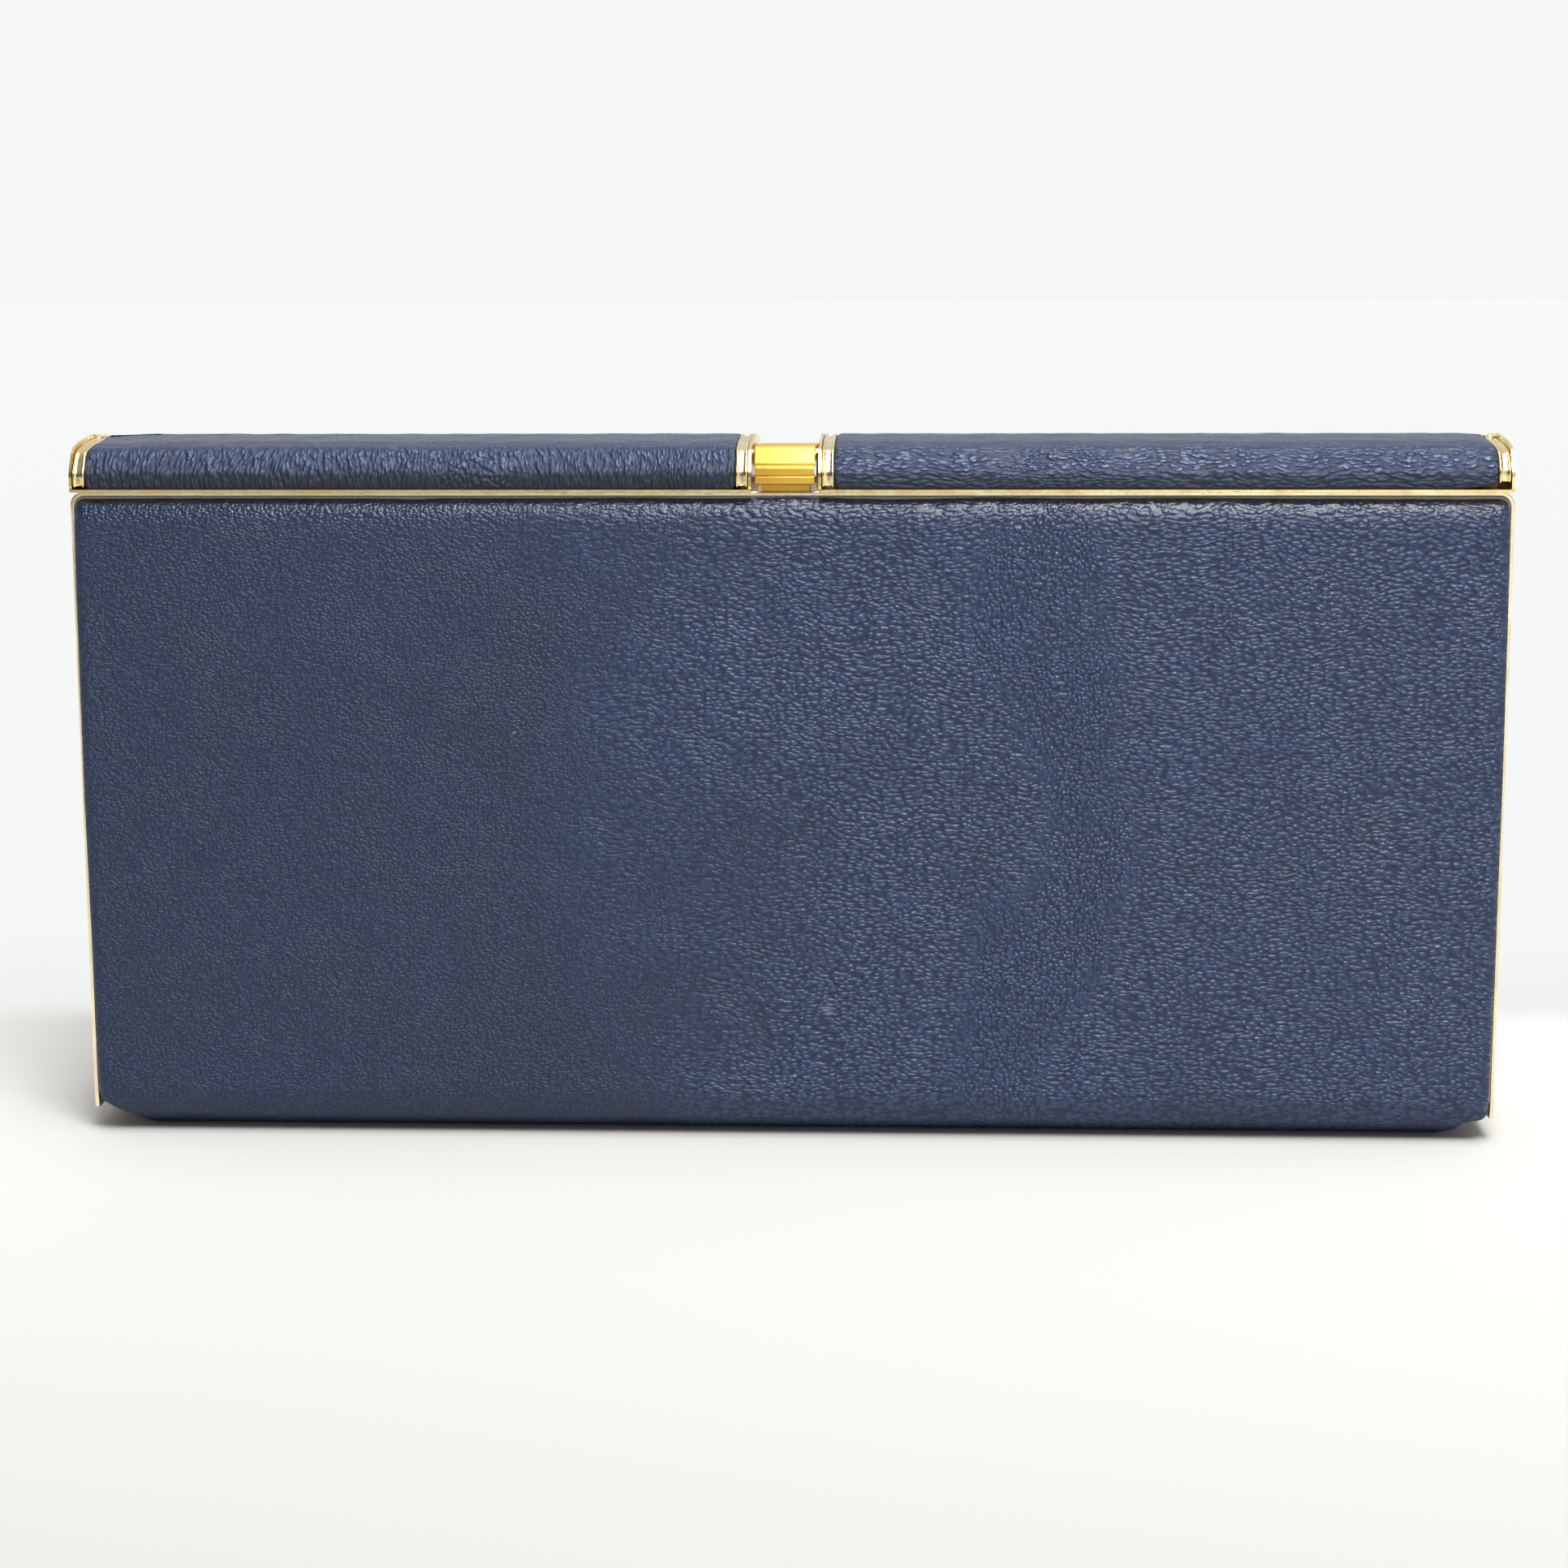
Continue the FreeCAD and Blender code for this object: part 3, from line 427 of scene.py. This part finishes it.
def leather_wrap():
    """One skin: front panel, round the bottom, rear panel, with its edges rolled under inside the rims."""
    side = [(-12.5, 80.25, 0), (-12.5, 5.3, 4.5), (-11.3, 2.7, 3.0), (-8.6, 0.9, 2.5), (-6.4, 0.0, 3.0), (0.0, 0.0, 0)]
    half = fillet(side, 10)
    profile = resample(np.vstack([half, half[-2::-1] * (-1.0, 1.0)]), 0.9)
    tangent, normal = frames(profile)
    rows, columns = len(profile), 201
    u = np.linspace(0.0, 1.0, columns)
    left = np.array([half_width(y, z, -1) for y, z in profile]) - LIP
    right = np.array([half_width(y, z, 1) for y, z in profile]) - LIP
    x = -left[:, None] + (left + right)[:, None] * u[None, :]
    y, z = profile[:, :1], profile[:, 1:]
    face = smoothstep(z, 3.0, 12.0)
    depth = face * (0.16 * (np.abs(x) / 88.0) ** 4 + 0.16 * (np.abs(z - 42.0) / 38.0) ** 4)
    t = np.clip((z - TOP_START) / TOP_REACH, 0.0, 1.0)
    beyond = np.maximum(z - (TOP_START + TOP_REACH), 0.0)
    depth = depth + math.tan(TOP_SLOPE) * (TOP_REACH * (t**3 - t**4 / 2.0) + beyond)
    depth = depth + face * 0.05 * ripple(x, z + 7.0 * np.sign(y), 22.0, 3)
    depth = depth + face * 0.025 * ripple(x, z + 7.0 * np.sign(y), 6.0, 5)
    front = face * (y < 0.0)
    for (x0, z0), (x1, z1), wide, deep in DENTS:
        run = np.array([x1 - x0, z1 - z0])
        t = np.clip(((x - x0) * run[0] + (z - z0) * run[1]) / (run @ run), 0.0, 1.0)
        away = np.hypot(x - x0 - t * run[0], z - z0 - t * run[1])
        depth = depth + front * deep * np.exp(-((away / wide) ** 2))
    n3 = np.stack([np.zeros(rows), normal[:, 0], normal[:, 1]], axis=1)[:, None, :]
    flat = np.stack([x, np.broadcast_to(y, x.shape), np.broadcast_to(z, x.shape)], axis=2)
    grid = flat - n3 * depth[:, :, None]

    # the way round the outline: the point it starts from, and the way outwards
    up0 = np.array([0.0, -tangent[0, 0], -tangent[0, 1]])
    up1 = np.array([0.0, tangent[-1, 0], tangent[-1, 1]])
    across = np.array([1.0, 0.0, 0.0])
    fan = np.radians(np.linspace(0.0, 90.0, 7))
    outline = [((0, j), up0) for j in range(columns)]
    outline += [((0, columns - 1), math.cos(a) * up0 + math.sin(a) * across) for a in fan[1:]]
    outline += [((i, columns - 1), across) for i in range(1, rows)]
    outline += [((rows - 1, columns - 1), math.cos(a) * across + math.sin(a) * up1) for a in fan[1:]]
    outline += [((rows - 1, j), up1) for j in range(columns - 2, -1, -1)]
    outline += [((rows - 1, 0), math.cos(a) * up1 - math.sin(a) * across) for a in fan[1:]]
    outline += [((i, 0), -across) for i in range(rows - 2, -1, -1)]
    outline += [((0, 0), -math.cos(a) * across + math.sin(a) * up0) for a in fan[1:-1]]

    def rings(lean):
        """How far out and in the rolled edge goes: a quarter turn at the sides, a part turn at the top (lean = 1)."""
        first, last = TOP_SLOPE * lean, math.radians(90.0 - 10.0 * lean)
        radius = LIP / (math.sin(last) - math.sin(first))
        turn = first + (last - first) * np.arange(1, ROLL_STEPS + 1) / ROLL_STEPS
        run = [(radius * (math.sin(a) - math.sin(first)), radius * (math.cos(first) - math.cos(a))) for a in turn]
        d, deep = run[-1]
        return run + [(d - 0.06, deep + 0.25), (d - 0.2, deep + 0.6)]

    points = list(grid.reshape(-1, 3))
    faces = grid_faces(rows, columns)
    start = len(points)
    for (i, j), way in outline:
        base, out = grid[i, j], n3[i, 0]
        edge = 0.0
        if i in (0, rows - 1) and abs(way[2]) > 0.5:
            bx = base[0]
            edge = 0.10 * float(ripple(bx, 0.0, 14.0, 11 + i)) + 0.035 * float(ripple(bx, 0.0, 2.5, 12 + i))
            if i == 0:
                edge += 0.32 * math.exp(-(((bx - 0.8) / 4.5) ** 2)) - 0.15 * math.exp(-(((bx + 46.0) / 2.0) ** 2))
        for d, inward in rings(max(0.0, float(way[2])) if i in (0, rows - 1) else 0.0):
            p = base + way * (d + edge * d / LIP) - out * inward
            if abs(base[1]) > 10.0 and abs(p[1]) < 10.75:  # behind the rim's lip, inside its walls
                p[0] = np.clip(p[0], -88.6, 88.6)
                p[2] = min(p[2], 81.6)
            points.append(p)
    count, deep = len(outline), ROLL_STEPS + 2
    for a in range(count):
        b = (a + 1) % count
        ia, ib = (outline[k][0][0] * columns + outline[k][0][1] for k in (a, b))
        ra, rb = start + a * deep, start + b * deep
        faces.append((ia, rb, ra) if ia == ib else (ia, ib, rb, ra))
        for k in range(deep - 1):
            faces.append((ra + k, rb + k, rb + k + 1, ra + k + 1))
    wrap = add_mesh("leather_wrap", points, faces, PANEL_LEATHER, outward=False)
    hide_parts("front_leather", "spine_leather", "rear_leather")
    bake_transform(wrap)


# --------------------------------------------------------- padding and lining


def padding(body, sign):
    """A thin crowned foam pad under a leather panel. Its sides pull in between the corners."""
    side = "front" if sign < 0 else "rear"
    low, high = (np.array(p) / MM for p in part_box(f"{side}_padding"))
    cx, cz = (low[0] + high[0]) / 2, (low[2] + high[2]) / 2
    hx, hz = (high[0] - low[0]) / 2, (high[2] - low[2]) / 2
    inner, outer = sorted((abs(low[1]), abs(high[1])))
    u, v = np.meshgrid(np.linspace(-1, 1, 61), np.linspace(-1, 1, 37))
    x = cx + u * (hx - 0.5 * (1 - v**2))
    z = cz + v * (hz - 0.4 * (1 - u**2))
    crown = (1 - np.abs(u) ** 12) * (1 - np.abs(v) ** 12)
    wave = 0.03 * ripple(x, z, 14.0, 21)
    top = np.stack([x, sign * (inner + 0.25 + (outer - inner - 0.45) * crown + wave), z], axis=2).reshape(-1, 3)
    under = np.stack([x, np.full_like(x, sign * (inner + 0.03)), z], axis=2).reshape(-1, 3)
    pad = add_mesh(f"{side}_padding_foam", np.vstack([top, under]), closed_faces(*u.shape), FOAM)
    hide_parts(f"{side}_padding")
    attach(pad, body)


def lining():
    """One cloth inside: down the front board, across the bottom and up the rear board."""
    side = [(-9.15, 81.5, 0), (-9.15, 4.6, 3.0), (-7.2, 2.0, 2.5), (-4.8, 1.25, 3.0), (0.0, 1.15, 0)]
    half = fillet(side, 8)
    profile = resample(np.vstack([half, half[-2::-1] * (-1.0, 1.0)]), 1.5)
    z = profile[:, 1:]
    wide = np.interp(profile[:, 1], (1.2, 2.6, 4.5, 8.0), (82.6, 83.4, 86.6, 88.5))[:, None]
    u = np.linspace(-1.0, 1.0, 121)[None, :]
    x = wide * u
    y = np.broadcast_to(profile[:, :1], x.shape)
    puff = 0.08 * ripple(x, z + 5.0 * np.sign(y), 16.0, 31) * smoothstep(z, 4.0, 12.0)
    grid = np.stack([x, y - 0.1 * np.sign(y) * (1.0 + puff), np.broadcast_to(z, x.shape)], axis=2)
    cloth = shell("lining_cloth", grid, 0.3, LINING)
    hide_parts("front_lining", "spine_lining", "rear_lining")
    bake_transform(cloth)


def gusset(side):
    """Folded cloth that closes an end: two inward folds, deep at the top and shallow at the foot."""
    name = "left" if side < 0 else "right"
    low, high = (np.array(p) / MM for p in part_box(f"gusset_{name}"))
    outer = max(abs(low[0]), abs(high[0]))
    rise = np.linspace(low[2], high[2], 61)[:, None]
    t = np.linspace(-1.0, 1.0, 65)[None, :]
    fold = np.abs(t)
    share = np.where(fold > 0.5, (1.0 - fold) / 0.5, 0.1 + 0.9 * fold / 0.5)
    share = smoothstep(share, -0.15, 1.12)
    f = (rise - low[2]) / (high[2] - low[2])
    reach = 0.6 + 11.7 * f
    crease = 0.25 * ripple(rise, t * 9.0 + 40.0 * side, 9.0, 41) * np.sin(np.pi * np.clip(share, 0, 1)) * (0.3 + f)
    x = side * (outer - 0.25 - reach * share - crease)
    y = np.broadcast_to(t * 8.85, x.shape)
    grid = np.stack([x, y, np.broadcast_to(rise, x.shape)], axis=2)
    cloth = shell(f"gusset_cloth_{name}", grid, 0.35, GUSSET)
    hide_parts(f"gusset_{name}")
    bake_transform(cloth)


# ------------------------------------------------------------------- top bars

BAR_FOOT, BAR_CROWN = 82.3, 88.7
CAP_WIDE = 1.55
# an end cap's outside, from one edge to the other: how far along, and how far the surface is drawn in
CAP_PROFILE = (
    (0.0, 0.3), (0.07, 0.12), (0.17, 0.02), (0.26, 0.0), (0.32, 0.03), (0.40, 0.13), (0.55, 0.15),
    (1.0, 0.15), (1.15, 0.13), (1.23, 0.03), (1.29, 0.0), (1.38, 0.02), (1.48, 0.12), (CAP_WIDE, 0.3),
)


def bar_outline(foot):
    """The bars' cross-section, from the seam under the bar round the back, the top and the front."""
    return fillet(
        [(-1.0, foot, 0), (-0.2, foot, 0.12), (-0.2, 88.7, 0.12), (-6.8, 88.25, 6.0), (-10.3, 87.6, 2.2),
         (-12.2, 84.7, 1.6), (-12.2, foot, 0.4), (-1.06, foot, 0)],
        7,
    )


def spaced(path, longest):
    """The path with points added so that no run is longer than this."""
    out = [path[0]]
    for a, b in zip(path, path[1:]):
        cuts = max(1, int(math.ceil(np.linalg.norm(b - a) / longest)))
        out += [a + (b - a) * k / cuts for k in range(1, cuts + 1)]
    return np.array(out)


def bar_bend(points, front, side):
    """The knocked ends: the bars droop a little, and the front right one is prised up off the rim."""
    x, z = points[:, 0] * side, points[:, 2]
    up = (z - BAR_FOOT) / (BAR_CROWN - BAR_FOOT)
    if front:
        droop, lift = (0.7, 0.75) if side > 0 else (0.4, 0.0)
        start = 84.0 if side > 0 else 78.0
    else:
        droop, lift, start = 0.25, 0.0, 82.0
    points[:, 2] += lift * smoothstep(x, 81.5, 90.0) * (1.0 - up) - droop * smoothstep(x, start, 90.5) * up
    return points


def bar_sweep(name, outline, stations, front, side, material, seam=False, soft=0.0, seed=0):
    """A cross-section swept along a bar. A station is (how far from the middle, how far the surface is drawn in)."""
    points, count = [], len(outline)
    for x, inset in stations:
        y = -6.2 + (outline[:, 0] + 6.2) * (1.0 - inset / 6.0)
        z = 85.7 + (outline[:, 1] - 85.7) * (1.0 - inset / 3.0)
        if soft:
            swell = soft * ripple(np.full(count, x * 1.0), outline[:, 0] * 1.5 + outline[:, 1] * 2.0, 5.0, seed)
            z = z + swell * (outline[:, 1] > 83.4)
            y = y - swell * (outline[:, 0] < -10.0)
        points.append(np.column_stack([np.full(count, x * side), y if front else -y, z]))
    points = bar_bend(np.vstack(points), front, side)
    faces = []
    last = count - 1 if seam else count
    for i in range(len(stations) - 1):
        for j in range(last):
            k = (j + 1) % count
            faces.append((i * count + j, i * count + k, (i + 1) * count + k, (i + 1) * count + j))
    faces.append(tuple(range(count)))
    faces.append(tuple(range(len(points) - count, len(points)))[::-1])
    return add_mesh(name, points, faces, material)


def top_bar(front, side):
    """One bar's leather and its two gold caps."""
    half, hand = ("front" if front else "rear"), ("left" if side < 0 else "right")
    body = FRONT if front else REAR
    node = f"{half}_bar_leather_{hand}"
    low, high = (np.array(p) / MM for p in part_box(node))
    first, last = sorted((abs(low[0]), abs(high[0])))
    roll = 0.55
    turn = np.radians(np.arange(0.0, 91.0, 18.0))
    play = 0.02
    start = [(first + roll * (1 - math.cos(a)) + play, roll * (1 - math.sin(a))) for a in turn]
    stop = [(last - roll * (1 - math.cos(a)) - play, roll * (1 - math.sin(a))) for a in turn[::-1]]
    middle = [(x, 0.0) for x in np.linspace(first + roll, last - roll, 160)[1:-1]]
    outline = spaced(bar_outline(82.67), 0.8)
    skin = bar_sweep(f"bar_wrap_{half}_{hand}", outline, start + middle + stop, front, side,
                     LEFT_LEATHER if side < 0 else RIGHT_LEATHER, seam=True, soft=0.05, seed=51 + side + 2 * front)
    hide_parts(node)
    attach(skin, body)
    outline = spaced(bar_outline(82.9)[1:-1], 0.8)
    for kind in ("inner", "outer"):
        node = f"{half}_{kind}_cap_{hand}"
        low, high = (np.array(p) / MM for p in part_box(node))
        near, far = sorted((abs(low[0]), abs(high[0])))
        stations = [(near + (far - near) * a / CAP_WIDE, inset) for a, inset in CAP_PROFILE]
        cap = bar_sweep(f"cap_{kind}_{half}_{hand}", outline, stations, front, side, CAP_GOLD)
        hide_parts(node)
        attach(cap, body)


# ----------------------------------------------------------------- snap latch


def ribbon(name, path, halves, thickness, material):
    """A bent strip of sheet metal with softened edges. halves is half its width at each point of the path."""
    tangent, normal = frames(path)
    r = min(0.13, thickness / 2.2)
    corner = [(0.0, r), (0.11 * r, 0.5 * r), (0.5 * r, 0.11 * r), (r, 0.0)]
    points = []
    for (y, z), n, h in zip(path, normal, halves):
        ring = [(h - dx, thickness / 2 - dn) for dx, dn in corner]
        ring += [(-a, b) for a, b in ring[::-1]]
        ring += [(-a, -b) for a, b in ring]
        points += [(a, y + n[0] * b, z + n[1] * b) for a, b in ring]
    count = 16
    faces = [
        (i * count + j, i * count + (j + 1) % count, (i + 1) * count + (j + 1) % count, (i + 1) * count + j)
        for i in range(len(path) - 1)
        for j in range(count)
    ]
    faces.append(tuple(range(count)))
    faces.append(tuple(range(len(points) - count, len(points)))[::-1])
    return add_mesh(name, points, faces, material)


def latch_plate():
    """The snap plate: knuckle round the pin, flat top, sloping face, a bead and a rolled lip."""
    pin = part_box("latch_pin")
    cy, cz = ((pin[0][k] + pin[1][k]) / 2 / MM for k in (1, 2))
    turn = np.radians(np.arange(-205.0, 75.0, 14.0))
    knuckle = [(cy + 0.93 * math.cos(a), cz + 0.93 * math.sin(a)) for a in turn]
    plate = fillet(
        [(cy + 0.3, cz + 0.9, 0), (7.2, 86.82, 1.5), (-10.3, 87.72, 0.85), (-11.66, 85.72, 0.2),
         (-11.45, 85.5, 0.16), (-12.2, 85.36, 0.24), (-12.2, 84.6, 0.26), (-11.4, 84.42, 0.18),
         (-12.0, 84.22, 0.26), (-11.95, 83.4, 0.32), (-11.1, 83.42, 0.35), (-10.98, 84.3, 0)],
        5,
    )
    path = spaced(np.vstack([knuckle, plate]), 1.2)
    y, z = path[:, 0], path[:, 1]
    halves = np.where(y > 7.45, 2.95, 3.75)
    halves = np.where((y < -10.4) & (z < 85.65), 3.62, halves)
    halves = np.where((y < -10.4) & (z < 84.42), 3.68, halves)
    plate = ribbon("snap_plate", path, halves, 0.46, LATCH_GOLD)
    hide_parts("latch_plate")
    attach(plate, LATCH)


# ------------------------------------------------------------- carried-over CAD


def finish_cad():
    """Materials for the CAD nodes whose shape is kept."""
    looks = {
        "rim": RIM_GOLD, "rivets": PIN_GOLD, "tray_left": TRAY_GOLD, "tray_right": TRAY_GOLD,
        "core_left": CORE, "core_right": CORE, "board": BOARD, "padding": FOAM, "leather": PANEL_LEATHER,
        "lining": LINING, "bar_leather_left": LEFT_LEATHER, "bar_leather_right": RIGHT_LEATHER,
        "outer_cap_left": CAP_GOLD, "outer_cap_right": CAP_GOLD, "inner_cap_left": CAP_GOLD,
        "inner_cap_right": CAP_GOLD,
    }
    looks = {f"{half}_{k}": m for half in ("front", "rear") for k, m in looks.items()}
    looks.update(
        hinge_pin_left=PIN_GOLD, hinge_pin_right=PIN_GOLD, latch_plate=LATCH_GOLD, latch_bracket=TRAY_GOLD,
        latch_pin=PIN_GOLD, latch_spring=STEEL, catch_plate=LATCH_GOLD, gusset_left=GUSSET,
        gusset_right=GUSSET, spine_leather=PANEL_LEATHER, spine_lining=LINING,
    )
    for name, node in NODES.items():
        if not node.material_slots:
            node.data.materials.append(looks[name])
        for slot in node.material_slots:
            slot.material = looks[name]


# ------------------------------------------------------------ studio and camera


def studio():
    """A pale floor that runs far back, a soft room of light, and two soft lamps."""
    size = 4000.0
    steps = np.linspace(-size, size, 9)
    x, y = np.meshgrid(steps, steps)
    floor = add_mesh("studio_floor", np.stack([x, -y, np.full_like(x, -0.02)], axis=2).reshape(-1, 3),
                     grid_faces(9, 9), floor_material(), outward=False)

    world = bpy.data.worlds.new("studio_world")
    bpy.context.scene.world = world
    world.use_nodes = True
    g = Graph(world.node_tree)
    g.tree.nodes.clear()
    x, y, z = g.split(g.node("TexCoord").outputs["Generated"])
    top = g.math("MULTIPLY", g.remap(z, 0.2, 0.9), 0.2)
    back = g.math("MULTIPLY", g.remap(y, -0.15, 0.45), 0.65)
    window = g.math("MULTIPLY", g.remap(x, -0.1, 0.3), g.remap(y, 0.15, -0.35))
    window = g.math("MULTIPLY", window, g.remap(z, 0.75, 0.35, 0.0, 0.75))
    level = g.math("ADD", g.math("MAXIMUM", g.math("MAXIMUM", top, back), window), 0.07)
    tint = g.node("CombineColor", {0: g.math("MULTIPLY", level, 0.98), 1: level, 2: g.math("MULTIPLY", level, 1.03)})
    lit = g.node("Background", {"Color": tint.outputs[0], "Strength": 1.0})
    seen = g.node("Background", {"Color": (0.913, 0.930, 0.925, 1.0), "Strength": 1.0})
    direct = g.node("LightPath").outputs["Is Camera Ray"]
    both = g.node("MixShader", {0: direct, 1: lit.outputs[0], 2: seen.outputs[0]})
    out = g.node("OutputWorld")
    g.tree.links.new(both.outputs[0], out.inputs["Surface"])

    for name, at, size, power in (
        ("top_lamp", (0.05, -0.04, 0.85), 0.4, 3.4),
        ("key_lamp", (0.14, -0.41, 0.68), 0.36, 6.8),
    ):
        data = bpy.data.lights.new(name, "AREA")
        data.shape, data.size, data.energy = "SQUARE", size, power
        lamp = bpy.data.objects.new(name, data)
        lamp.location = at
        lamp.rotation_euler = (Vector((0, 0, 0.045)) - Vector(at)).to_track_quat("-Z", "Y").to_euler()
        bpy.context.scene.collection.objects.link(lamp)
    bpy.context.scene.view_settings.view_transform = "Standard"
    bpy.context.scene.view_settings.look = "None"


def camera():
    pan, tilt, roll = math.radians(-2.626), math.radians(9.996), math.radians(-0.224)
    forward = Vector((math.sin(pan) * math.cos(tilt), math.cos(pan) * math.cos(tilt), -math.sin(tilt)))
    right = Vector((math.cos(pan), -math.sin(pan), 0.0))
    up = right.cross(forward)
    across = math.cos(roll) * right + math.sin(roll) * up
    above = -math.sin(roll) * right + math.cos(roll) * up
    data = bpy.data.cameras.new("studio_camera")
    data.sensor_fit = "HORIZONTAL"
    data.angle = math.radians(27.26)
    data.clip_start = 0.01
    made = bpy.data.objects.new("studio_camera", data)
    basis = Matrix((across, above, -forward)).transposed().to_4x4()
    made.matrix_world = Matrix.Translation((0.01801, -0.4097, 0.11604)) @ basis
    bpy.context.scene.collection.objects.link(made)
    bpy.context.scene.camera = made


finish_cad()
padding(FRONT, -1)
padding(REAR, 1)
leather_wrap()
lining()
gusset(-1)
gusset(1)
for at_front in (True, False):
    for hand_side in (-1, 1):
        top_bar(at_front, hand_side)
latch_plate()
studio()
camera()
